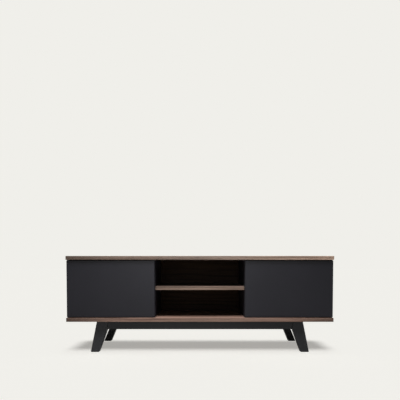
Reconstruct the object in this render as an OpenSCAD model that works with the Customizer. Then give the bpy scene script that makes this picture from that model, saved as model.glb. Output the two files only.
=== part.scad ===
// Low TV stand with two push-to-open doors, an open middle bay and a splayed base frame.
// Millimetres. +X is right, the front faces -Y, +Z is up, z = 0 is the floor.

/* [Overall] */
// Width over the top and bottom boards
stand_w = 1600; // [1200:10:2000]
// Depth of the top and bottom boards
stand_d = 400; // [340:5:480]
// Total height from the floor
stand_h = 583; // [500:1:700]

/* [Boards] */
// Thickness of the walnut top and bottom boards
board_t = 23; // [19:0.5:30]
// Thickness of the side panels
side_t = 18; // [16:0.5:25]
// Thickness of the dividers
divider_t = 18; // [16:0.5:25]
// Clear width of the open middle bay
bay_w = 541; // [400:2:700]
// Thickness of the back panel
back_t = 5; // [3:0.5:8]
// Distance from the back panel's rear face to the boards' rear edge
back_inset = 10; // [8:1:40]
// Depth of the grooves that hold the back panel
groove_depth = 6; // [4:0.5:10]
// Radius of the eased edges of the boards
edge_r = 1.2; // [0.5:0.1:3]

/* [Shelves] */
// Thickness of the centre shelf
shelf_t = 23; // [18:0.5:30]
// Height of the centre shelf's middle plane above the bottom board
shelf_z = 177.5; // [120:0.5:220]
// Distance of the centre shelf's front edge from the boards' front edge
shelf_setback = 30; // [25:1:60]
// Thickness of the shelves behind the doors
inner_shelf_t = 18; // [16:0.5:25]
// Distance of the inner shelves' front edge from the boards' front edge
inner_shelf_setback = 60; // [45:1:90]
// Gap at each end of a shelf
shelf_end_gap = 1; // [0.5:0.1:2]

/* [Doors] */
// Thickness of a door
door_t = 18; // [16:0.5:25]
// Distance of the doors' front face behind the boards' front edge
door_recess = 11; // [4:0.5:20]
// Gap between a door's ends and the boards
door_gap = 4; // [2.5:0.1:5]
// Gap between a door's back and the carcass
door_back_gap = 4; // [3.5:0.1:8]
// Distance of a door's outer edge inside the boards' ends
door_end_inset = 1; // [0.2:0.1:6]
// Distance of a door's inner edge outside the divider's bay face
door_reveal = 1.5; // [1:0.5:8]
// Radius of a door's edges
door_edge_r = 1.5; // [0.5:0.1:2.5]

/* [Pivot hinges] */
// Diameter of a pivot pin
pin_d = 8; // [6:0.5:9]
// Depth of a pivot pin in the door
pin_in_door = 22; // [15:1:40]
// Depth of a pivot bush in its board
bush_depth = 12; // [8:1:15]
// Outer diameter of a pivot bush
bush_d = 12; // [11:0.5:13]
// Diameter of a bush's flange
bush_flange_d = 16; // [15:0.5:17]
// Radial running clearance of a pin in its bush
pin_clearance = 0.06; // [0.02:0.01:0.1]

/* [Push latches] */
// Length of a latch housing
latch_l = 62; // [50:1:90]
// Width and height of a latch housing
latch_w = 14; // [12:0.5:20]
// Diameter of the plunger
plunger_d = 7; // [6:0.5:8]
// Travel of the plunger
plunger_travel = 4; // [2:0.5:6]
// Height of the latch below the top board
latch_drop = 70; // [40:1:120]
// Thickness of the strike plate on the door
strike_t = 1.2; // [0.8:0.1:2]

/* [Base frame] */
// Height of the base from the floor to the bottom board
base_h = 189; // [120:1:240]
// Height of the rails
rail_h = 49; // [35:1:70]
// Thickness of the front and rear rails
rail_t = 24; // [18:1:32]
// Thickness of the side rails
side_rail_t = 20; // [18:1:30]
// Shadow gap between the end of the front or rear rail and a leg
rail_gap = 2.5; // [0:0.5:4]
// Thickness of the legs
leg_t = 32; // [24:1:40]
// Distance of the front legs' face behind the boards' front edge
leg_setback = 30; // [20:1:60]
// Distance of the rear legs' back face from the boards' rear edge
rear_leg_setback = 4; // [0:1:40]
// Distance from the middle to a front foot's outer corner
foot_x = 663; // [500:1:900]
// Distance from the middle to a rear foot's outer corner
rear_foot_x = 666.5; // [500:0.5:900]
// Width of a front foot at the floor
foot_w = 51; // [34:1:60]
// How far a front leg's outer edge leans in over its height
leg_lean = 39; // [0:1:60]
// Width of a front leg where it meets the bottom board
leg_top_w = 62.5; // [56:0.5:100]
// Width of a rear leg
rear_leg_w = 49; // [34:1:60]
// Lean of the rear legs, as run over rise
rear_rake = 0.42; // [0:0.01:0.6]
// Height of a foot glide
glide_h = 2.5; // [1.5:0.1:6]

/* [Fasteners] */
// Diameter of the wood dowels
dowel_d = 8; // [6:1:10]
// Depth of a dowel in a board
dowel_in_board = 13; // [8:0.5:15]
// Depth of a dowel in a panel's end
dowel_in_end = 20; // [15:1:30]
// Diameter of a cam lock
cam_d = 15; // [12:0.5:16]
// Depth of a cam lock
cam_depth = 12.5; // [10:0.5:14]
// Distance from a panel's end to a cam lock's middle
cam_reach = 24; // [18:1:34]
// Diameter of a cam bolt
cam_bolt_d = 6; // [5:0.5:7]
// Depth of a cam bolt in a board
cam_bolt_in_board = 11; // [8:0.5:13]
// Diameter of a shelf pin
shelf_pin_d = 5; // [4:0.5:6]

/* [Hidden] */
$fn = 48;

WALNUT = [0.36, 0.25, 0.19];
BLACK = [0.13, 0.13, 0.14];
STEEL = [0.72, 0.72, 0.70];
ZINC = [0.60, 0.60, 0.60];
BEECH = [0.80, 0.66, 0.47];
NYLON_WHITE = [0.88, 0.88, 0.85];
NYLON_BLACK = [0.10, 0.10, 0.10];
RUBBER = [0.75, 0.76, 0.74];

// Reach of a cut past the face that it opens
overcut = 1;
// Room past the end of a dowel or bolt in its blind hole
end_slack = 0.5;

// Heights
bottom_z = base_h;
inside_z = bottom_z + board_t;
top_z = stand_h - board_t;
inside_h = top_z - inside_z;

// Places from side to side
half_w = stand_w / 2;
bay_x = bay_w / 2;
divider_out_x = bay_x + divider_t;
side_in_x = half_w - side_t;

// Places from front to back
front_y = -stand_d / 2;
rear_y = stand_d / 2;
door_front_y = front_y + door_recess;
door_back_y = door_front_y + door_t;
carcass_front_y = door_back_y + door_back_gap;
back_front_y = rear_y - back_inset - back_t;

// Doors
door_out_x = half_w - door_end_inset;
door_in_x = bay_x + door_reveal;
door_z = inside_z + door_gap;
door_top_z = top_z - door_gap;
pivot_x = door_out_x - door_t / 2;
pivot_y = (door_front_y + door_back_y) / 2;
flange_gap = 0.5;
flange_t = door_gap - flange_gap;
bush_floor_t = 1;
pin_end_gap = 1;
pin_l = pin_in_door + door_gap + bush_depth - bush_floor_t - pin_end_gap;
buffer_d = 8;
buffer_x = (door_in_x + divider_out_x) / 2;
buffer_inset = 25;
buffer_z = [inside_z + buffer_inset, top_z - buffer_inset];

// Back panel
groove_slack = 0.3;
back_end_x = side_in_x + groove_depth - groove_slack;
back_low_z = inside_z - groove_depth + groove_slack;
back_high_z = top_z + groove_depth - groove_slack;

// Push latches
housing_wall = 3;
latch_z = top_z - latch_drop;
latch_x = divider_out_x + latch_w / 2;
plunger_reserve = 2;
latch_front_y = carcass_front_y + plunger_travel + plunger_reserve;
latch_clearance = 0.05;
latch_gap = 0.3;
strike_w = 16;
strike_h = 24;
strike_hole_d = 4;
strike_hole_z = 8.5;
plunger_tip_y = door_back_y + strike_t + latch_gap;
collar_t = 3;
collar_d = plunger_d + 3;
spring_wire_d = 0.8;
spring_d = 6;
spring_turns = 7;
spring_sides = 6;
spring_steps = 12;

// Base frame
rail_low_z = base_h - rail_h;
leg_top_out_x = foot_x - leg_lean;
leg_top_in_x = leg_top_out_x - leg_top_w;
front_leg_y = front_y + leg_setback;
rear_leg_y = rear_y - rear_leg_setback - leg_t;
rail_inset = (leg_t - rail_t) / 2;
side_rail_x = leg_top_in_x + 4;
glide_inset = 3;
glide_corner_r = 4;

// Fasteners
dowel_inset = 40;
cam_inset = 72;
dowel_y = [carcass_front_y + dowel_inset, back_front_y - dowel_inset];
cam_y = [carcass_front_y + cam_inset, back_front_y - cam_inset];
cam_cover_t = 1;
cam_bolt_gap = 0.5;
cam_cover_d = cam_d + 3;
pin_back_wall = 0.5;
shelf_pin_in_panel = divider_t / 2 - pin_back_wall;
shelf_pin_out = 8;
shelf_pin_inset = 45;
shelf_pin_pitch = 32;
centre_pin_in_shelf = 22;
centre_pin_inset = 40;
inner_shelf_z = inside_z + (inside_h - inner_shelf_t) / 2;
centre_shelf_low_z = inside_z + shelf_z - shelf_t / 2;
centre_shelf_front_y = front_y + shelf_setback;
inner_shelf_front_y = front_y + inner_shelf_setback;
shelf_back_y = back_front_y - shelf_end_gap;
shelf_pin_y = [inner_shelf_front_y + shelf_pin_inset, shelf_back_y - shelf_pin_inset];
centre_pin_y = [centre_shelf_front_y + centre_pin_inset, shelf_back_y - centre_pin_inset];
screw_d = 5;
screw_head_d = 10;
screw_head_sink = 18;
screw_head_h = 4;
screw_head_z = rail_low_z + screw_head_sink - screw_head_h;
screw_in_board = 14;
screw_x = [-420, -140, 140, 420];
screw_y = [front_leg_y + rail_t / 2, rear_leg_y + leg_t - rail_inset - rail_t / 2];
small_screw_d = 3.5;
small_screw_head_d = 7;
small_screw_head_h = 2;
small_screw_l = 24;
small_screw_inset = 50;
small_screw_z = [inside_z + small_screw_inset, (inside_z + top_z) / 2, top_z - small_screw_inset];
screw_socket_d = 4;
screw_socket_depth = 2;
base_dowel_l = 40;
dowel_in_leg = 10;
base_dowel_pitch = 22;
base_dowel_z = [for (side = [-1, 1]) rail_low_z + (rail_h + side * base_dowel_pitch) / 2];

// A board with every edge eased by radius r, its low corner at the origin.
module eased_board(x, y, z, r) {
    intersection() {
        linear_extrude(z) rounded_rect(x, y, r);
        translate([0, y, 0]) rotate([90, 0, 0]) linear_extrude(y) rounded_rect(x, z, r);
        rotate([90, 0, 90]) linear_extrude(x) rounded_rect(y, z, r);
    }
}

module rounded_rect(x, y, r) {
    translate([r, 0]) square([x - 2 * r, y]);
    translate([0, r]) square([x, y - 2 * r]);
    for (cx = [r, x - r], cy = [r, y - r]) translate([cx, cy]) circle(r);
}

// Puts a left-hand or right-hand piece, drawn for the right side, on the side asked for.
module on_side(side) {
    if (side > 0) children();
    else mirror([1, 0, 0]) children();
}

module round_bar_x(x0, x1, d) {
    translate([x0, 0, 0]) rotate([0, 90, 0]) cylinder(d = d, h = x1 - x0);
}

module round_bar_y(y0, y1, d) {
    translate([0, y0, 0]) rotate([-90, 0, 0]) cylinder(d = d, h = y1 - y0);
}

// Every wood dowel of the right half of the carcass, through the ends of the divider and the side panel.
module carcass_dowel_set(slack = 0) {
    for (x = [bay_x + divider_t / 2, half_w - side_t / 2], y = dowel_y) translate([x, y, 0]) {
        translate([0, 0, inside_z - dowel_in_board - slack])
            cylinder(d = dowel_d, h = dowel_in_board + dowel_in_end + 2 * slack);
        translate([0, 0, top_z - dowel_in_end - slack])
            cylinder(d = dowel_d, h = dowel_in_board + dowel_in_end + 2 * slack);
    }
}

// Every cam bolt of the right half of the carcass, up to a height reach inside its panel's end.
module cam_bolt_set(reach, slack = 0) {
    for (x = [bay_x + divider_t / 2, half_w - side_t / 2], y = cam_y) translate([x, y, 0]) {
        translate([0, 0, inside_z - cam_bolt_in_board - slack])
            cylinder(d = cam_bolt_d, h = cam_bolt_in_board + reach + slack);
        translate([0, 0, top_z - reach])
            cylinder(d = cam_bolt_d, h = cam_bolt_in_board + reach + slack);
    }
}

// Bores for the cam bolts, which open into the bores of the cam locks.
module cam_bolt_bores() {
    cam_bolt_set(cam_reach, end_slack);
}

// One disc at each cam lock's place in the right half, from depth d0 to d1 in its panel's compartment face.
module cam_disc_set(d0, d1, d) {
    for (y = cam_y, z = [inside_z + cam_reach, top_z - cam_reach]) translate([0, y, z]) {
        round_bar_x(divider_out_x - d1, divider_out_x - d0, d);
        round_bar_x(side_in_x + d0, side_in_x + d1, d);
    }
}

// The groove that the back panel sits in, cut into the boards and the side panels.
module back_groove() {
    translate([-side_in_x - groove_depth, back_front_y, inside_z - groove_depth])
        cube([2 * (side_in_x + groove_depth), back_t + groove_slack, inside_h + 2 * groove_depth]);
}

module pivot_bush_bores() {
    for (side = [-1, 1]) translate([side * pivot_x, pivot_y, 0]) {
        translate([0, 0, inside_z - bush_depth]) cylinder(d = bush_d, h = bush_depth + overcut);
        translate([0, 0, top_z - overcut]) cylinder(d = bush_d, h = bush_depth + overcut);
    }
}

module top_panel() {
    color(WALNUT) difference() {
        translate([-half_w, front_y, top_z]) eased_board(stand_w, stand_d, board_t, edge_r);
        back_groove();
        pivot_bush_bores();
        for (side = [-1, 1]) on_side(side) {
            carcass_dowel_set(end_slack);
            cam_bolt_bores();
        }
    }
}

module bottom_panel() {
    color(WALNUT) difference() {
        translate([-half_w, front_y, bottom_z]) eased_board(stand_w, stand_d, board_t, edge_r);
        back_groove();
        pivot_bush_bores();
        for (side = [-1, 1]) on_side(side) {
            carcass_dowel_set(end_slack);
            cam_bolt_bores();
        }
        base_frame_screw_shanks(screw_in_board + end_slack);
    }
}

// Holes for the shelf pins of the shelves behind the doors, in the faces at x0 and x1.
module shelf_pin_bores(x0, x1) {
    for (y = shelf_pin_y, step = [-2:2])
        translate([0, y, inner_shelf_z - shelf_pin_d / 2 + step * shelf_pin_pitch])
            round_bar_x(x0, x1, shelf_pin_d);
}

module side_panel(side) {
    color(BLACK) on_side(side) difference() {
        translate([side_in_x, carcass_front_y, inside_z])
            cube([side_t, rear_y - carcass_front_y, inside_h]);
        back_groove();
        carcass_dowel_set(end_slack);
        cam_bolt_bores();
        cam_disc_set(-overcut, cam_depth, cam_d);
        shelf_pin_bores(side_in_x - overcut, side_in_x + shelf_pin_in_panel);
    }
}

module divider(side) {
    color(BLACK) on_side(side) difference() {
        translate([bay_x, carcass_front_y, inside_z])
            cube([divider_t, back_front_y - carcass_front_y, inside_h]);
        carcass_dowel_set(end_slack);
        cam_bolt_bores();
        cam_disc_set(-overcut, cam_depth, cam_d);
        shelf_pin_bores(divider_out_x - shelf_pin_in_panel, divider_out_x + overcut);
        for (y = centre_pin_y) translate([0, y, centre_shelf_low_z + shelf_t / 2])
            round_bar_x(bay_x - overcut, bay_x + shelf_pin_in_panel, shelf_pin_d);
        back_panel_screw_set(small_screw_l + end_slack);
    }
}

module back_panel() {
    color(WALNUT) difference() {
        translate([-back_end_x, back_front_y, back_low_z])
            cube([2 * back_end_x, back_t, back_high_z - back_low_z]);
        for (side = [-1, 1]) on_side(side) back_panel_screw_set(small_screw_l + end_slack);
    }
}

module centre_shelf() {
    color(WALNUT) difference() {
        translate([shelf_end_gap - bay_x, centre_shelf_front_y, centre_shelf_low_z])
            eased_board(bay_w - 2 * shelf_end_gap, shelf_back_y - centre_shelf_front_y, shelf_t, edge_r);
        for (side = [-1, 1], y = centre_pin_y) on_side(side)
            translate([0, y, centre_shelf_low_z + shelf_t / 2])
                round_bar_x(bay_x - centre_pin_in_shelf, bay_x, shelf_pin_d);
    }
}

module inner_shelf(side) {
    color(BLACK) on_side(side)
        translate([divider_out_x + shelf_end_gap, inner_shelf_front_y, inner_shelf_z])
            eased_board(side_in_x - divider_out_x - 2 * shelf_end_gap,
                shelf_back_y - inner_shelf_front_y, inner_shelf_t, edge_r);
}

module door(side) {
    color(BLACK) on_side(side) difference() {
        translate([door_in_x, door_front_y, door_z])
            eased_board(door_out_x - door_in_x, door_t, door_top_z - door_z, door_edge_r);
        translate([pivot_x, pivot_y, 0]) {
            translate([0, 0, door_z - overcut]) cylinder(d = pin_d, h = pin_in_door + overcut);
            translate([0, 0, door_top_z - pin_in_door]) cylinder(d = pin_d, h = pin_in_door + overcut);
        }
    }
}

module pivot_pins(side) {
    color(STEEL) on_side(side) translate([pivot_x, pivot_y, 0]) {
        translate([0, 0, door_z + pin_in_door - pin_l]) cylinder(d = pin_d, h = pin_l);
        translate([0, 0, door_top_z - pin_in_door]) cylinder(d = pin_d, h = pin_l);
    }
}

// One flanged bush with its mouth at z = 0, opening upwards.
module pivot_bush() {
    difference() {
        union() {
            translate([0, 0, -bush_depth]) cylinder(d = bush_d, h = bush_depth);
            cylinder(d = bush_flange_d, h = flange_t);
        }
        translate([0, 0, bush_floor_t - bush_depth])
            cylinder(d = pin_d + 2 * pin_clearance, h = bush_depth + flange_t);
    }
}

module pivot_bushes(side) {
    color(NYLON_BLACK) on_side(side) translate([pivot_x, pivot_y, 0]) {
        translate([0, 0, inside_z]) pivot_bush();
        translate([0, 0, top_z]) mirror([0, 0, 1]) pivot_bush();
    }
}

module latch_housing(side) {
    rear_room = latch_l - 2 * housing_wall;
    color(NYLON_BLACK) on_side(side) translate([latch_x, latch_front_y, latch_z]) difference() {
        translate([-latch_w / 2, 0, -latch_w / 2]) cube([latch_w, latch_l, latch_w]);
        round_bar_y(-overcut, latch_l - housing_wall, plunger_d + 2 * latch_clearance);
        round_bar_y(housing_wall, housing_wall + rear_room, collar_d + 2 * latch_clearance);
    }
}

module latch_plunger(side) {
    collar_y = latch_front_y + housing_wall + latch_gap;
    color(NYLON_WHITE) on_side(side) translate([latch_x, 0, latch_z]) {
        round_bar_y(plunger_tip_y, collar_y + collar_t, plunger_d);
        round_bar_y(collar_y, collar_y + collar_t, collar_d);
    }
}

// Points of a coil spring along +Y: a ring of wire corners at each step.
function spring_ring(i, pitch) =
    let (turn = 360 * i / spring_steps)
    [for (j = [0:spring_sides - 1])
        let (a = 360 * j / spring_sides, r = spring_d / 2 + spring_wire_d / 2 * cos(a))
        [r * cos(turn), pitch * i / spring_steps + spring_wire_d / 2 * sin(a), r * sin(turn)]];

module latch_spring(side) {
    y0 = latch_front_y + housing_wall + latch_gap + collar_t + latch_gap + spring_wire_d / 2;
    y1 = latch_front_y + latch_l - housing_wall - latch_gap - spring_wire_d / 2;
    rings = spring_turns * spring_steps;
    points = [for (i = [0:rings]) each spring_ring(i, (y1 - y0) / spring_turns)];
    walls = [for (i = [0:rings - 1], j = [0:spring_sides - 1])
        let (k = (j + 1) % spring_sides, a = i * spring_sides, b = a + spring_sides)
        each [[a + j, a + k, b + k], [a + j, b + k, b + j]]];
    first = [for (j = [spring_sides - 1:-1:0]) j];
    last = [for (j = [0:spring_sides - 1]) rings * spring_sides + j];
    color(STEEL) on_side(side) translate([latch_x, y0, latch_z])
        polyhedron(points, concat(walls, [first, last]));
}

module strike_plate(side) {
    color(STEEL) on_side(side) translate([latch_x, door_back_y, latch_z]) difference() {
        translate([-strike_w / 2, 0, -strike_h / 2]) cube([strike_w, strike_t, strike_h]);
        for (side = [-1, 1]) translate([0, 0, side * strike_hole_z])
            round_bar_y(-overcut, strike_t + overcut, strike_hole_d);
    }
}

module door_buffers(side) {
    color(RUBBER) on_side(side)
        for (z = buffer_z) translate([buffer_x, 0, z])
            round_bar_y(door_back_y + latch_gap, carcass_front_y, buffer_d);
}

module shelf_pins(side) {
    color(STEEL) on_side(side) for (y = shelf_pin_y) translate([0, y, inner_shelf_z - shelf_pin_d / 2]) {
        round_bar_x(divider_out_x - shelf_pin_in_panel, divider_out_x + shelf_pin_out, shelf_pin_d);
        round_bar_x(side_in_x - shelf_pin_out, side_in_x + shelf_pin_in_panel, shelf_pin_d);
    }
}

module centre_shelf_pins() {
    color(STEEL) for (side = [-1, 1], y = centre_pin_y) on_side(side)
        translate([0, y, centre_shelf_low_z + shelf_t / 2])
            round_bar_x(bay_x - centre_pin_in_shelf + end_slack, bay_x + shelf_pin_in_panel, shelf_pin_d);
}

module carcass_dowels() {
    color(BEECH) for (side = [-1, 1]) on_side(side) carcass_dowel_set();
}

module cam_bolts() {
    color(ZINC) for (side = [-1, 1]) on_side(side) cam_bolt_set(cam_reach - cam_bolt_gap);
}

// Each cam lock is a disc with a slot that takes the end of its cam bolt.
module cam_locks() {
    color(ZINC) for (side = [-1, 1]) on_side(side) difference() {
        cam_disc_set(0, cam_depth, cam_d);
        cam_bolt_slots();
    }
}

module cam_bolt_slots() {
    w = cam_bolt_d + cam_bolt_gap;
    for (x = [bay_x + divider_t / 2, half_w - side_t / 2], y = cam_y) {
        translate([x - w / 2, y - w / 2, inside_z]) cube([w, w, cam_reach]);
        translate([x - w / 2, y - w / 2, top_z - cam_reach]) cube([w, w, cam_reach]);
    }
}

module cam_covers() {
    color(NYLON_BLACK) for (side = [-1, 1]) on_side(side) cam_disc_set(-cam_cover_t, 0, cam_cover_d);
}

// Screws through the back panel into the rear ends of the dividers, drawn for the right half.
module back_panel_screw_set(l) {
    for (z = small_screw_z)
        translate([bay_x + divider_t / 2, back_front_y + back_t, z]) round_bar_y(-l, 0, small_screw_d);
}

module back_panel_screws() {
    color(ZINC) for (side = [-1, 1]) on_side(side) {
        back_panel_screw_set(small_screw_l);
        for (z = small_screw_z)
            translate([bay_x + divider_t / 2, back_front_y + back_t, z]) rotate([-90, 0, 0])
                cylinder(d1 = small_screw_head_d, d2 = small_screw_head_d / 2, h = small_screw_head_h);
    }
}

// Dowel holes between the rails and the legs of the right half, or the dowels themselves.
module base_dowel_set(slack = 0) {
    half_l = base_dowel_l / 2 + slack;
    rail_mid = [front_leg_y + leg_t / 2, rear_leg_y + leg_t / 2];
    for (z = base_dowel_z) {
        translate([0, rail_mid[0], z]) round_bar_x(leg_top_in_x - half_l, leg_top_in_x + half_l, dowel_d);
        translate([0, rail_mid[1], z])
            round_bar_x(rear_leg_in_x(z) - half_l, rear_leg_in_x(z) + half_l, dowel_d);
        translate([side_rail_x + side_rail_t / 2, front_leg_y + leg_t, z])
            round_bar_y(-dowel_in_leg - slack, half_l, dowel_d);
        translate([side_rail_x + side_rail_t / 2, rear_leg_y, z])
            round_bar_y(-half_l, dowel_in_leg + slack, dowel_d);
    }
}

function rear_leg_in_x(z) = rear_foot_x - rear_leg_w - rear_rake * z;

module front_rail() {
    end_x = leg_top_in_x - rail_gap;
    color(BLACK) difference() {
        translate([-end_x, front_leg_y, rail_low_z]) cube([2 * end_x, rail_t, rail_h]);
        for (side = [-1, 1]) on_side(side) base_dowel_set(end_slack);
        base_frame_screw_bores();
    }
}

module rear_rail() {
    low_x = rear_leg_in_x(rail_low_z) - rail_gap;
    high_x = rear_leg_in_x(base_h) - rail_gap;
    color(BLACK) difference() {
        translate([0, rear_leg_y + leg_t - rail_inset, 0]) rotate([90, 0, 0]) linear_extrude(rail_t)
            polygon([[-low_x, rail_low_z], [low_x, rail_low_z], [high_x, base_h], [-high_x, base_h]]);
        for (side = [-1, 1]) on_side(side) base_dowel_set(end_slack);
        base_frame_screw_bores();
    }
}

module side_rail(side) {
    y0 = front_leg_y + leg_t;
    color(BLACK) on_side(side) difference() {
        translate([side_rail_x, y0, rail_low_z]) cube([side_rail_t, rear_leg_y - y0, rail_h]);
        base_dowel_set(end_slack);
    }
}

module leg_board(y0, outline) {
    translate([0, y0 + leg_t, 0]) rotate([90, 0, 0]) linear_extrude(leg_t) polygon(outline);
}

module front_leg(side) {
    lean = leg_lean / base_h;
    outline = [
        [foot_x - lean * glide_h, glide_h],
        [leg_top_out_x, base_h],
        [leg_top_in_x, base_h],
        [leg_top_in_x, rail_low_z],
        [foot_x - foot_w, glide_h]
    ];
    color(BLACK) on_side(side) difference() {
        leg_board(front_leg_y, outline);
        base_dowel_set(end_slack);
    }
}

module rear_leg(side) {
    outline = [
        [rear_leg_in_x(glide_h) + rear_leg_w, glide_h],
        [rear_leg_in_x(base_h) + rear_leg_w, base_h],
        [rear_leg_in_x(base_h), base_h],
        [rear_leg_in_x(glide_h), glide_h]
    ];
    color(BLACK) on_side(side) difference() {
        leg_board(rear_leg_y, outline);
        base_dowel_set(end_slack);
    }
}

// A glide under a foot whose outer corner is at x and whose width is w.
module foot_glide(side, x, w, y0) {
    size = [w, leg_t] - 2 * glide_inset * [1, 1];
    color(NYLON_BLACK) on_side(side) translate([x - w + glide_inset, y0 + glide_inset, 0])
        linear_extrude(glide_h) rounded_rect(size[0], size[1], glide_corner_r);
}

// The shank holes or shanks of the screws that hold the base frame, up to l inside the bottom board.
module base_frame_screw_shanks(l) {
    for (x = screw_x, y = screw_y) translate([x, y, rail_low_z + screw_head_sink])
        cylinder(d = screw_d, h = rail_h - screw_head_sink + l);
}

module base_frame_screw_bores() {
    base_frame_screw_shanks(overcut);
    for (x = screw_x, y = screw_y) translate([x, y, rail_low_z - overcut])
        cylinder(d = screw_head_d, h = screw_head_sink + overcut);
}

module base_frame_screws() {
    color(ZINC) difference() {
        union() {
            base_frame_screw_shanks(screw_in_board);
            for (x = screw_x, y = screw_y) translate([x, y, screw_head_z])
                cylinder(d = screw_head_d, h = screw_head_h);
        }
        for (x = screw_x, y = screw_y) translate([x, y, screw_head_z - overcut])
            cylinder(d = screw_socket_d, h = screw_socket_depth + overcut, $fn = 6);
    }
}

module base_dowels() {
    color(BEECH) for (side = [-1, 1]) on_side(side) base_dowel_set();
}

top_panel();
bottom_panel();
side_panel(-1);  // side_panel_left
side_panel(1);  // side_panel_right
divider(-1);  // divider_left
divider(1);  // divider_right
back_panel();
centre_shelf();
inner_shelf(-1);  // inner_shelf_left
inner_shelf(1);  // inner_shelf_right
door(-1);  // door_left
door(1);  // door_right
front_rail();
rear_rail();
side_rail(-1);  // side_rail_left
side_rail(1);  // side_rail_right
front_leg(-1);  // front_leg_left
front_leg(1);  // front_leg_right
rear_leg(-1);  // rear_leg_left
rear_leg(1);  // rear_leg_right
foot_glide(-1, foot_x, foot_w, front_leg_y);  // foot_glide_front_left
foot_glide(1, foot_x, foot_w, front_leg_y);  // foot_glide_front_right
foot_glide(-1, rear_foot_x, rear_leg_w, rear_leg_y);  // foot_glide_rear_left
foot_glide(1, rear_foot_x, rear_leg_w, rear_leg_y);  // foot_glide_rear_right
pivot_pins(-1);  // pivot_pins_left
pivot_pins(1);  // pivot_pins_right
pivot_bushes(-1);  // pivot_bushes_left
pivot_bushes(1);  // pivot_bushes_right
latch_housing(-1);  // latch_housing_left
latch_housing(1);  // latch_housing_right
latch_plunger(-1);  // latch_plunger_left
latch_plunger(1);  // latch_plunger_right
latch_spring(-1);  // latch_spring_left
latch_spring(1);  // latch_spring_right
strike_plate(-1);  // strike_plate_left
strike_plate(1);  // strike_plate_right
door_buffers(-1);  // door_buffers_left
door_buffers(1);  // door_buffers_right
shelf_pins(-1);  // shelf_pins_left
shelf_pins(1);  // shelf_pins_right
centre_shelf_pins();
carcass_dowels();
cam_bolts();
cam_locks();
cam_covers();
base_dowels();
base_frame_screws();
back_panel_screws();
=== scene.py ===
"""The looks of a low walnut and black TV stand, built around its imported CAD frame. Metres, floor at z = 0."""

import math

import bmesh
import bpy
from mathutils import Matrix, Vector


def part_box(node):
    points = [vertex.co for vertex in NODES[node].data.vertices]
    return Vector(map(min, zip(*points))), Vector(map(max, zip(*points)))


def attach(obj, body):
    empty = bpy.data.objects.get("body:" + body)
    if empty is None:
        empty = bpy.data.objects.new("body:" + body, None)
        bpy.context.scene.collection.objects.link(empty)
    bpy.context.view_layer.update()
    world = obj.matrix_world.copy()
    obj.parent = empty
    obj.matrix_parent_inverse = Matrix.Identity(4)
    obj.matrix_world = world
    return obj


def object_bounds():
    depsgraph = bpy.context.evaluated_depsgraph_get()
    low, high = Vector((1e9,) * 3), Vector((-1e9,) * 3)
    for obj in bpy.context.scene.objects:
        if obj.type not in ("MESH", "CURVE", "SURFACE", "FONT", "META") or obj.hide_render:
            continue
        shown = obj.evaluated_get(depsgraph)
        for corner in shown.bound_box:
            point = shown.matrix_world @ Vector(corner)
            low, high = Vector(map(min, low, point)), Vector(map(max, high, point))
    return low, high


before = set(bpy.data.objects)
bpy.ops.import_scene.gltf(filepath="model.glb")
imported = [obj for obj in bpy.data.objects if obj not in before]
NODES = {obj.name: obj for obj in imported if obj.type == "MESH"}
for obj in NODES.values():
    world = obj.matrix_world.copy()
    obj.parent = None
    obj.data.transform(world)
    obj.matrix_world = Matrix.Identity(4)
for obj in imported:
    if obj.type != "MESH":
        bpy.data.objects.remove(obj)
cad_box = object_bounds()

# ---------------------------------------------------------------- colours, linear

WALL_WHITE = (0.871, 0.863, 0.823)
FLOOR_WHITE = (0.800, 0.792, 0.755)
WALNUT_DARK = (0.105, 0.066, 0.048)
WALNUT_MID = (0.270, 0.186, 0.143)
WALNUT_LIGHT = (0.400, 0.292, 0.232)
BLACK_LACQUER = (0.0165, 0.0160, 0.0222)
BLACK_STAIN = (0.0240, 0.0245, 0.0275)
RAW_BOARD = (0.205, 0.128, 0.075)
BEECH = (0.560, 0.395, 0.235)
STEEL = (0.560, 0.555, 0.540)
ZINC = (0.430, 0.430, 0.415)
NYLON_BLACK = (0.020, 0.020, 0.021)
NYLON_WHITE = (0.620, 0.615, 0.580)
BUFFER = (0.420, 0.420, 0.400)

MM = 0.001

# The base: its stain's roughness, its rounded arrises, and its one leg with painted light, a brighter copy of
# the stain as if lit more from the left
STAIN_ROUGHNESS = 0.46
LEG_EASE = 2.0 * MM
RAIL_EASE = 1.2 * MM
LIT_LEG = "front_leg_left"
LIT_LEG_LEVEL = 1.4

# The slotted screws that hold the strike plates to the doors
STRIKE_SCREW_R = 3.1 * MM
STRIKE_SCREW_H = 1.3 * MM
STRIKE_SCREW_SLOT = 0.9 * MM
STRIKE_SCREW_PITCH = 17.0 * MM
HEAD_STEPS = 12
# Each ring of a head: its level as a share of the height, and its radius as a share of the head's radius
HEAD_SEAT = 0.4
HEAD_RINGS = ((HEAD_SEAT, 1.0), (0.75, 0.96), (1.0, 0.78))

# Each walnut board's own piece of veneer: where it was cut and its tint. along gives its tone from end to end:
# partly the veneer's own, partly painted shade where the light falls off toward the ends. faces gives the
# painted shade on its underside and its upper face, beside its edges' tone.
WALNUT_BOARDS = {
    "top_panel": {"seed": 3.0, "along": ((0.0, 0.4), (0.2, 0.84), (0.5, 0.61), (0.7, 1.05), (1.0, 1.95)),
                  "faces": (0.45, 1.0)},
    "bottom_panel": {"seed": 5.0, "tint": (1.0, 0.88, 0.87),
                     "along": ((0.0, 0.36), (0.25, 1.1), (0.5, 0.86), (0.83, 1.05), (1.0, 0.5))},
    "centre_shelf": {"seed": 7.0, "tint": (1.0, 0.975, 0.955),
                     "along": ((0.0, 0.84), (0.5, 1.01), (1.0, 0.94)), "faces": (0.5, 0.45)},
    # The back board's tint makes it nearly black-brown, far darker than the other boards.
    "back_panel": {"seed": 11.0, "tint": (0.16, 0.125, 0.085), "gloss": 0.04, "raw_back": True},
}


# ---------------------------------------------------------------- shader helpers

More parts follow.
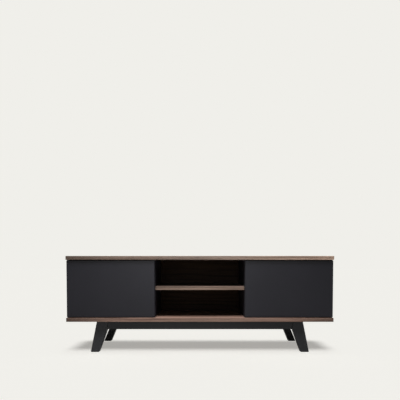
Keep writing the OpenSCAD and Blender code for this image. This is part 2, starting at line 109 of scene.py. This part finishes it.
class Shader:
    """One material's node tree, with a short call for each kind of node."""

    def __init__(self, name):
        self.material = bpy.data.materials.new(name)
        self.material.use_nodes = True
        self.tree = self.material.node_tree
        self.bsdf = self.tree.nodes["Principled BSDF"]

    def add(self, kind, inputs=None, **settings):
        """A new node. inputs maps a socket's name or number to a value or to another node's socket."""
        made = self.tree.nodes.new(kind)
        for key, value in settings.items():
            setattr(made, key, value)
        for key, value in (inputs or {}).items():
            self.put(made.inputs[key], value)
        return made

    def put(self, socket, value):
        if isinstance(value, bpy.types.NodeSocket):
            self.tree.links.new(value, socket)
        elif isinstance(value, tuple) and len(value) == 3 and socket.type == "RGBA":
            socket.default_value = (*value, 1.0)
        else:
            socket.default_value = value

    def coordinates(self):
        return self.add("ShaderNodeTexCoord").outputs["Object"]

    def moved(self, vector, scale=(1, 1, 1), place=(0, 0, 0)):
        made = self.add("ShaderNodeMapping", {"Vector": vector, "Scale": scale, "Location": place})
        return made.outputs["Vector"]

    def noise(self, vector, scale, detail, roughness):
        """Noise over the vector, times one scale or the three scales of its axes."""
        if isinstance(scale, tuple):
            vector, scale = self.moved(vector, scale=scale), 1.0
        made = self.add("ShaderNodeTexNoise", {
            "Vector": vector, "Scale": scale, "Detail": detail, "Roughness": roughness})
        return made.outputs["Fac"]

    def maths(self, operation, a, b=0.0):
        return self.add("ShaderNodeMath", {0: a, 1: b}, operation=operation).outputs[0]

    def ramp(self, fac, stops):
        """stops is a list of (place, colour or grey)."""
        made = self.add("ShaderNodeValToRGB", {"Fac": fac})
        band = made.color_ramp
        while len(band.elements) < len(stops):
            band.elements.new(0.5)
        for element, (place, value) in zip(band.elements, stops):
            element.position = place
            element.color = (*value, 1.0) if isinstance(value, tuple) else (value, value, value, 1.0)
        return made.outputs["Color"]

    def span(self, value, low, high, out_low=0.0, out_high=1.0):
        made = self.add("ShaderNodeMapRange", {
            "Value": value, "From Min": low, "From Max": high, "To Min": out_low, "To Max": out_high})
        return made.outputs["Result"]

    def mix(self, fac, a, b, blend="MIX"):
        made = self.add("ShaderNodeMix", data_type="RGBA", blend_type=blend)
        for number, value in ((0, fac), (6, a), (7, b)):
            self.put(made.inputs[number], value)
        return made.outputs[2]

    def bump(self, height, distance, strength):
        inputs = {"Height": height, "Distance": distance, "Strength": strength}
        return self.add("ShaderNodeBump", inputs).outputs["Normal"]

    def finish(self, **sockets):
        """The finished material. Each setting is named after the surface's socket, with _ for a space."""
        for name, value in sockets.items():
            self.put(self.bsdf.inputs[name.replace("_", " ")], value)
        return self.material


def shaded(colour, level):
    """The colour at that share of its brightness."""
    return tuple(channel * level for channel in colour)


def separate(shader, vector):
    return shader.add("ShaderNodeSeparateXYZ", {0: vector}).outputs


# ---------------------------------------------------------------- materials

def walnut(name, seed, tint=(1.0, 1.0, 1.0), along=((0.0, 1.0), (1.0, 1.0)), length=1.0, gloss=0.30,
           faces=(1.0, 1.0), raw_back=False):
    """Walnut veneer with the grain along X, under a thin satin lacquer.

    along gives the tone at places from the left end, 0, to the right end, 1, of the board's length: partly the
    veneer's own, partly painted shade where the light falls off toward the ends.
    faces gives the painted shade of the underside and of the upper face, beside the edges' tone.
    """
    s = Shader(name)
    whole = s.coordinates()
    facing = separate(s, s.add("ShaderNodeNewGeometry").outputs["Normal"])
    x, y, z = separate(s, whole)
    # The edge band on an end has its grain along the board's depth.
    turned = s.add("ShaderNodeCombineXYZ", {0: y, 1: x, 2: z}).outputs[0]
    at_end = s.maths("GREATER_THAN", s.maths("ABSOLUTE", facing[0]), 0.7)
    p = s.moved(s.mix(at_end, whole, turned), place=(seed * 0.73, seed * 0.31, seed * 0.17))
    # Slow bends of the grain, stretched along the board.
    sway = s.noise(p, (0.9, 5.0, 5.0), 2.0, 0.5)
    drift = s.noise(p, (2.6, 16.0, 16.0), 2.0, 0.5)
    _, side, height = separate(s, p)
    across = s.maths("ADD", side, s.maths("MULTIPLY", height, 1.7))
    bend = s.maths("ADD", s.maths("MULTIPLY", sway, 0.26), s.maths("MULTIPLY", drift, 0.035))
    rings = s.maths("MULTIPLY", s.maths("ADD", across, bend), 34.0)
    line = s.maths("POWER", s.maths("PINGPONG", rings, 1.0), 2.2)
    # Fine figure: bands, streaks and pores drawn out along the grain.
    band = s.noise(p, (1.1, 75.0, 75.0), 2.0, 0.5)
    streak = s.noise(p, (3.2, 190.0, 190.0), 3.0, 0.6)
    fibre = s.noise(p, (9.0, 720.0, 720.0), 2.0, 0.55)
    pore = s.span(s.noise(p, (34.0, 1150.0, 1150.0), 1.0, 0.4), 0.62, 0.70)
    cloud = s.noise(s.moved(p, scale=(2.2, 7.0, 7.0), place=(4.1, 2.3, 0.7)), 1.0, 3.0, 0.55)
    tone = s.maths("MULTIPLY", line, -0.26)
    for layer, weight in ((band, 0.50), (streak, 0.45), (cloud, 0.28), (fibre, 0.22)):
        tone = s.maths("ADD", tone, s.maths("MULTIPLY", layer, weight))
    tone = s.span(tone, 0.28, 0.98)
    colour = s.ramp(tone, [(0.0, WALNUT_DARK), (0.5, WALNUT_MID), (1.0, WALNUT_LIGHT)])
    colour = s.mix(s.maths("MULTIPLY", pore, 0.55), colour, shaded(WALNUT_DARK, 0.35))
    # The tone from end to end: partly the veneer's own, partly painted shade toward the ends.
    end_to_end = s.span(x, -length / 2, length / 2)
    end_tone_and_shade = s.ramp(end_to_end, [(place, shaded(tint, level)) for place, level in along])
    colour = s.mix(1.0, colour, end_tone_and_shade, "MULTIPLY")
    # Painted shade: the underside and the upper face are darkened beside the edges.
    if faces != (1.0, 1.0):
        under, over = faces
        tilt = s.span(facing[2], -1.0, 1.0)
        painted_face_shade = s.ramp(tilt, [(0.15, under), (0.35, 1.0), (0.65, 1.0), (0.85, over)])
        colour = s.mix(1.0, colour, painted_face_shade, "MULTIPLY")
    rough = s.span(s.maths("ADD", streak, cloud), 0.6, 1.4, 0.56, 0.44)
    if raw_back:
        # The rear of the thin back board is bare fibreboard.
        rear = s.span(facing[1], 0.4, 0.6)
        speck = s.noise(p, 420.0, 3.0, 0.7)
        bare = s.ramp(speck, [(0.3, shaded(RAW_BOARD, 0.72)), (0.7, shaded(RAW_BOARD, 1.15))])
        colour = s.mix(rear, colour, bare)
        rough = s.maths("ADD", rough, s.maths("MULTIPLY", rear, 0.3))
    grain = s.maths("SUBTRACT", s.maths("MULTIPLY", fibre, 0.6), s.maths("MULTIPLY", pore, 0.8))
    normal = s.bump(grain, 0.12 * MM, 0.6)
    return s.finish(Base_Color=colour, Roughness=rough, Normal=normal, Specular_IOR_Level=gloss)


def lacquer(name, colour, rough=0.5, grain_axis=None, lower=None, upper=None):
    """Dark matte lacquer with a faint orange peel, dusty clouds and, on solid wood, a telegraphed grain."""
    s = Shader(name)
    p = s.coordinates()
    cloud = s.noise(p, 3.0, 4.0, 0.6)
    peel = s.noise(p, 900.0, 2.0, 0.5)
    speck = s.noise(p, 160.0, 3.0, 0.65)
    tone = s.maths("ADD", s.maths("MULTIPLY", cloud, 0.6), s.maths("MULTIPLY", speck, 0.4))
    shade = s.ramp(tone, [(0.3, shaded(colour, 0.86)), (0.7, shaded(colour, 1.16))])
    height = s.maths("MULTIPLY", peel, 0.5)
    if grain_axis is not None:
        stretch = [620.0, 620.0, 620.0]
        stretch[grain_axis] = 14.0
        fibre = s.noise(p, tuple(stretch), 3.0, 0.6)
        shade = s.mix(s.span(fibre, 0.35, 0.7, 0.0, 0.4), shade, shaded(colour, 1.7))
        height = s.maths("ADD", height, fibre)
    if lower is not None:
        shade = s.mix(edge_wear(s, p, lower, upper), shade, shaded(colour, 2.4))
    rough_map = s.span(tone, 0.25, 0.75, rough - 0.05, rough + 0.06)
    normal = s.bump(height, 0.06 * MM, 0.5)
    return s.finish(Base_Color=shade, Roughness=rough_map, Normal=normal, Specular_IOR_Level=0.30)


def edge_wear(s, p, lower, upper):
    """Strongest within a millimetre or so of a box-shaped board's arrises, broken up by noise."""
    near = []
    for axis, socket in enumerate(separate(s, p)):
        to_low = s.maths("SUBTRACT", socket, lower[axis])
        to_high = s.maths("SUBTRACT", upper[axis], socket)
        near.append(s.maths("MINIMUM", to_low, to_high))
    # The middle one of the three distances is the distance to the nearest arris.
    small = s.maths("MINIMUM", near[0], near[1])
    large = s.maths("MAXIMUM", near[0], near[1])
    middle = s.maths("MAXIMUM", small, s.maths("MINIMUM", large, near[2]))
    rub = s.noise(p, 40.0, 4.0, 0.6)
    return s.maths("MULTIPLY", s.span(middle, 1.4 * MM, 0.2 * MM), s.span(rub, 0.40, 0.62, 0.05, 0.55))


def metal(name, colour, rough, brushed):
    s = Shader(name)
    p = s.coordinates()
    stretch = (60.0, 60.0, 2600.0) if brushed else (900.0, 900.0, 900.0)
    line = s.noise(p, stretch, 3.0, 0.6)
    stain = s.noise(p, 150.0, 4.0, 0.6)
    shade = s.ramp(stain, [(0.3, shaded(colour, 0.82)), (0.7, shaded(colour, 1.08))])
    rough_map = s.span(line, 0.3, 0.7, rough - 0.08, rough + 0.1)
    normal = s.bump(line, 0.02 * MM, 0.4)
    return s.finish(Base_Color=shade, Metallic=1.0, Roughness=rough_map, Normal=normal)


def plastic(name, colour, rough):
    s = Shader(name)
    p = s.coordinates()
    texture = s.noise(p, 1500.0, 2.0, 0.5)
    cloud = s.noise(p, 90.0, 3.0, 0.6)
    shade = s.ramp(cloud, [(0.3, shaded(colour, 0.9)), (0.7, shaded(colour, 1.1))])
    rough_map = s.span(cloud, 0.3, 0.7, rough - 0.05, rough + 0.05)
    normal = s.bump(texture, 0.03 * MM, 0.5)
    return s.finish(Base_Color=shade, Roughness=rough_map, Normal=normal)


def beech(name):
    s = Shader(name)
    p = s.coordinates()
    fleck = s.noise(p, (500.0, 500.0, 40.0), 3.0, 0.6)
    shade = s.ramp(fleck, [(0.3, shaded(BEECH, 0.8)), (0.7, shaded(BEECH, 1.1))])
    return s.finish(Base_Color=shade, Roughness=0.7, Normal=s.bump(fleck, 0.1 * MM, 0.5))


def paint(node, material):
    """Gives a CAD node its material in every slot."""
    slots = NODES[node].data.materials
    if not slots:
        slots.append(material)
    for i in range(len(slots)):
        slots[i] = material


def by_side(pattern):
    """The left and the right node's names."""
    return [pattern.format(side) for side in ("left", "right")]


def finish_boards():
    for node, settings in WALNUT_BOARDS.items():
        low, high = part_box(node)
        paint(node, walnut("walnut_" + node, length=high.x - low.x, **settings))
    for kind in ("door", "side_panel", "divider", "inner_shelf"):
        for node in by_side(kind + "_{}"):
            low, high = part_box(node)
            paint(node, lacquer("lacquer_" + node, BLACK_LACQUER, lower=low, upper=high))


def finish_base():
    along_x = lacquer("stained_rail", BLACK_STAIN, STAIN_ROUGHNESS, grain_axis=0)
    along_y = lacquer("stained_side_rail", BLACK_STAIN, STAIN_ROUGHNESS, grain_axis=1)
    along_z = lacquer("stained_leg", BLACK_STAIN, STAIN_ROUGHNESS, grain_axis=2)
    # Painted light: the left front leg takes a brighter copy of the stain, as if a lamp on its left lit it
    # more.
    pale = lacquer("stained_leg_painted_light", shaded(BLACK_STAIN, LIT_LEG_LEVEL), STAIN_ROUGHNESS, grain_axis=2)
    for node in ("front_rail", "rear_rail"):
        paint(node, along_x)
    for node in by_side("side_rail_{}"):
        paint(node, along_y)
    for node in by_side("front_leg_{}") + by_side("rear_leg_{}"):
        paint(node, pale if node == LIT_LEG else along_z)
        ease(node, LEG_EASE)
    for node in ("front_rail", "rear_rail", *by_side("side_rail_{}")):
        ease(node, RAIL_EASE)


def ease(node, width):
    """Rounds a CAD node's arrises for the render."""
    piece = NODES[node]
    weld = piece.modifiers.new("weld", "WELD")
    weld.merge_threshold = 0.01 * MM
    bevel = piece.modifiers.new("ease", "BEVEL")
    bevel.width = width
    bevel.segments = 3
    bevel.limit_method = "ANGLE"
    bevel.angle_limit = math.radians(25)
    bevel.harden_normals = True


def strike_screw_head(name):
    """A slotted screw head. It stands on its origin and faces +Y, with its slot upright."""
    radius, height, slot = STRIKE_SCREW_R, STRIKE_SCREW_H, STRIKE_SCREW_SLOT
    shape = bmesh.new()
    seat = height * HEAD_SEAT
    bmesh.ops.create_cone(shape, cap_ends=True, segments=HEAD_STEPS * 2, radius1=radius, radius2=radius,
                          depth=seat, matrix=Matrix.Translation((0, 0, seat / 2)))
    # The halves beside the slot are closed solids on the seat.
    start = math.asin(slot / 2 / radius)
    step = (math.pi - 2 * start) / HEAD_STEPS
    arc = [start + step * i for i in range(HEAD_STEPS + 1)]
    for side in (-1, 1):
        rings = []
        for level, share in HEAD_RINGS:
            reach = radius * share
            around = [(max(reach * math.sin(a), slot / 2), reach * math.cos(a)) for a in arc]
            rings.append([shape.verts.new((side * x, y, height * level)) for x, y in around])
        for lower, upper in zip(rings, rings[1:]):
            for i in range(len(arc)):
                j = (i + 1) % len(arc)
                shape.faces.new((lower[i], lower[j], upper[j], upper[i]))
        shape.faces.new(rings[0])
        shape.faces.new(rings[-1])
    bmesh.ops.recalc_face_normals(shape, faces=shape.faces)
    bmesh.ops.rotate(shape, verts=shape.verts, matrix=Matrix.Rotation(math.radians(-90.0), 3, "X"))
    return placed(name, shape)


def placed(name, shape):
    """A new object in the scene from a finished bmesh."""
    mesh = bpy.data.meshes.new(name)
    shape.to_mesh(mesh)
    shape.free()
    made = bpy.data.objects.new(name, mesh)
    bpy.context.scene.collection.objects.link(made)
    return made


def make_strike_screws():
    """Two screws hold each strike plate to the back of its door, and swing with it."""
    zinc = metal("screw_zinc", ZINC, 0.36, brushed=False)
    for side in ("left", "right"):
        low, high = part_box("strike_plate_" + side)
        middle = (low + high) / 2
        for end, sign in (("lower", -1), ("upper", 1)):
            head = strike_screw_head(f"strike_screw_{side}_{end}")
            head.location = (middle.x, high.y, middle.z + sign * STRIKE_SCREW_PITCH / 2)
            head.data.materials.append(zinc)
            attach(head, "door_" + side)


def finish_fittings():
    steel = metal("bright_steel", STEEL, 0.30, brushed=True)
    zinc = metal("zinc_plate", ZINC, 0.42, brushed=False)
    black = plastic("black_nylon", NYLON_BLACK, 0.55)
    white = plastic("white_nylon", NYLON_WHITE, 0.42)
    rubber = plastic("buffer_rubber", BUFFER, 0.70)
    wood = beech("beech")
    for node in by_side("pivot_pins_{}") + by_side("latch_spring_{}") + by_side("strike_plate_{}"):
        paint(node, steel)
    for node in by_side("shelf_pins_{}") + ["centre_shelf_pins"]:
        paint(node, steel)
    for node in ("cam_bolts", "cam_locks", "base_frame_screws", "back_panel_screws"):
        paint(node, zinc)
    for node in by_side("pivot_bushes_{}") + by_side("latch_housing_{}") + ["cam_covers"]:
        paint(node, black)
    for node in by_side("foot_glide_front_{}") + by_side("foot_glide_rear_{}"):
        paint(node, black)
    for node in by_side("latch_plunger_{}"):
        paint(node, white)
    for node in by_side("door_buffers_{}"):
        paint(node, rubber)
    for node in ("carcass_dowels", "base_dowels"):
        paint(node, wood)


# ---------------------------------------------------------------- studio

# The camera stands CAMERA_BACK in front of the boards and looks down by CAMERA_PITCH degrees.
CAMERA_BACK = 2.2415
CAMERA_HEIGHT = 0.5261
CAMERA_PITCH = 1.725
CAMERA_LENS = 33.86
CAMERA_SHIFT = (0.0004, 0.1921)

# Each light's angle is the sun's apparent width in degrees: the wider, the softer its shadows.
FLOOR_RADIUS = 60.0
FLOOR_GLOW = 0.43
FLOOR_LIGHT = 1.87
FLOOR_LIGHT_ANGLE = 52.0
# The share of the floor's light that the stand shades instead of the flag
OPEN_SHARE = 0.12
OPEN_LIGHT_ANGLE = 16.0
# The flag's height over the floor, its half size and the place of its middle
FLAG_HEIGHT = 0.12
FLAG_REACH = (0.806, 0.135)
FLAG_PLACE = (0.006, 0.038)

# The key sun, and the softbox and the gloss-only panel that hang ahead of the boards, left of their middle
KEY_ELEVATION = 76.0
KEY_STRENGTH = 2.2
KEY_ANGLE = 20.0
BOX_POWER = 14.0
BOX_SIZE = (0.9, 0.4)
BOX_AHEAD = 0.45
BOX_HEIGHT = 1.50
SHEEN_POWER = 10.0
SHEEN_AHEAD = 1.6
SHEEN_HEIGHT = 0.9
SHEEN_SIZE = 1.0
LIGHTS_LEFT = 0.12
SKY_FILL = 0.03


def make_camera():
    front_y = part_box("top_panel")[0].y
    data = bpy.data.cameras.new("camera")
    data.lens = CAMERA_LENS
    data.shift_x, data.shift_y = CAMERA_SHIFT
    data.clip_end = 500.0
    camera = bpy.data.objects.new("camera", data)
    camera.location = (0.0, front_y - CAMERA_BACK, CAMERA_HEIGHT)
    camera.rotation_euler = (math.radians(90.0 - CAMERA_PITCH), 0.0, 0.0)
    bpy.context.scene.collection.objects.link(camera)
    bpy.context.scene.camera = camera


def make_floor():
    """A pale floor. Its own glow shows only to the camera, and brings it up to the wall's white."""
    shape = bmesh.new()
    bmesh.ops.create_circle(shape, cap_ends=True, segments=96, radius=FLOOR_RADIUS)
    floor = placed("floor", shape)
    s = Shader("floor_white")
    seen = s.add("ShaderNodeLightPath").outputs["Is Camera Ray"]
    floor.data.materials.append(s.finish(
        Base_Color=FLOOR_WHITE, Roughness=1.0, Specular_IOR_Level=0.0, Emission_Color=WALL_WHITE,
        Emission_Strength=s.maths("MULTIPLY", seen, FLOOR_GLOW)))
    return floor


def make_flag():
    """An unseen card under the stand. It gives the floor its soft, narrow shadow."""
    shape = bmesh.new()
    bmesh.ops.create_grid(shape, x_segments=1, y_segments=1, size=1.0)
    flag = placed("flag", shape)
    flag.data.materials.append(Shader("flag_black").finish(Base_Color=BLACK_STAIN, Roughness=1.0))
    flag.location = (*FLAG_PLACE, FLAG_HEIGHT)
    flag.scale = (*FLAG_REACH, 1.0)
    for ray in ("camera", "diffuse", "glossy", "transmission"):
        setattr(flag, "visible_" + ray, False)
    return flag


def link_group(name, members, state):
    """A collection that includes or leaves out its members, for a light's receivers or blockers."""
    group = bpy.data.collections.new(name)
    for member in members:
        group.objects.link(member)
    for entry in group.collection_objects:
        entry.light_linking.link_state = state
    return group


def add_light(kind, name, place, target, **settings):
    data = bpy.data.lights.new(name, kind)
    for key, value in settings.items():
        setattr(data, key, value)
    light = bpy.data.objects.new(name, data)
    light.location = place
    light.rotation_euler = (Vector(target) - Vector(place)).to_track_quat("-Z", "Y").to_euler()
    bpy.context.scene.collection.objects.link(light)
    return light


def make_lights(floor, flag):
    """Two suns light the floor alone. A third, a softbox and a gloss-only panel light everything else."""
    floor_only = link_group("floor_only", [floor], "INCLUDE")
    no_floor = link_group("all_but_floor", [floor], "EXCLUDE")
    overhead = {"kind": "SUN", "place": (0, 0, 3), "target": (0, 0, 0)}
    flagged = add_light(name="flagged_sun", energy=FLOOR_LIGHT * (1.0 - OPEN_SHARE),
                        angle=math.radians(FLOOR_LIGHT_ANGLE), **overhead)
    flagged.light_linking.blocker_collection = link_group("flag_only", [flag], "INCLUDE")
    unflagged = add_light(name="open_sun", energy=FLOOR_LIGHT * OPEN_SHARE,
                          angle=math.radians(OPEN_LIGHT_ANGLE), **overhead)
    left_out = [NODES["top_panel"], NODES["bottom_panel"], flag]
    unflagged.light_linking.blocker_collection = link_group("all_but_boards", left_out, "EXCLUDE")
    for light in (flagged, unflagged):
        light.light_linking.receiver_collection = floor_only

    tilt = math.radians(KEY_ELEVATION)
    key = add_light("SUN", "key", (0, -math.cos(tilt), math.sin(tilt)), (0, 0, 0),
                    energy=KEY_STRENGTH, angle=math.radians(KEY_ANGLE))
    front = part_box("top_panel")[0].y
    middle = (-LIGHTS_LEFT, front, cad_box[1].z / 2)
    box = add_light("AREA", "softbox", (-LIGHTS_LEFT, front - BOX_AHEAD, BOX_HEIGHT), middle,
                    energy=BOX_POWER, shape="RECTANGLE", size=BOX_SIZE[0], size_y=BOX_SIZE[1])
    sheen = add_light("AREA", "sheen", (-LIGHTS_LEFT, front - SHEEN_AHEAD, SHEEN_HEIGHT), middle,
                      energy=SHEEN_POWER, shape="SQUARE", size=SHEEN_SIZE)
    sheen.visible_diffuse = False
    for light in (key, box, sheen):
        light.light_linking.receiver_collection = no_floor


def make_world():
    """The camera sees a white wall; everything else sees a faint white fill."""
    world = bpy.data.worlds.new("studio")
    world.use_nodes = True
    bpy.context.scene.world = world
    tree = world.node_tree
    seen = tree.nodes["Background"]
    seen.inputs["Color"].default_value = (*WALL_WHITE, 1.0)
    fill = tree.nodes.new("ShaderNodeBackground")
    fill.inputs["Color"].default_value = (1.0, 1.0, 1.0, 1.0)
    fill.inputs["Strength"].default_value = SKY_FILL
    choose = tree.nodes.new("ShaderNodeMixShader")
    path = tree.nodes.new("ShaderNodeLightPath")
    tree.links.new(path.outputs["Is Camera Ray"], choose.inputs[0])
    tree.links.new(fill.outputs[0], choose.inputs[1])
    tree.links.new(seen.outputs[0], choose.inputs[2])
    tree.links.new(choose.outputs[0], tree.nodes["World Output"].inputs["Surface"])
    bpy.context.scene.view_settings.view_transform = "Standard"


make_camera()
make_lights(make_floor(), make_flag())
make_world()
finish_boards()
finish_base()
finish_fittings()
make_strike_screws()
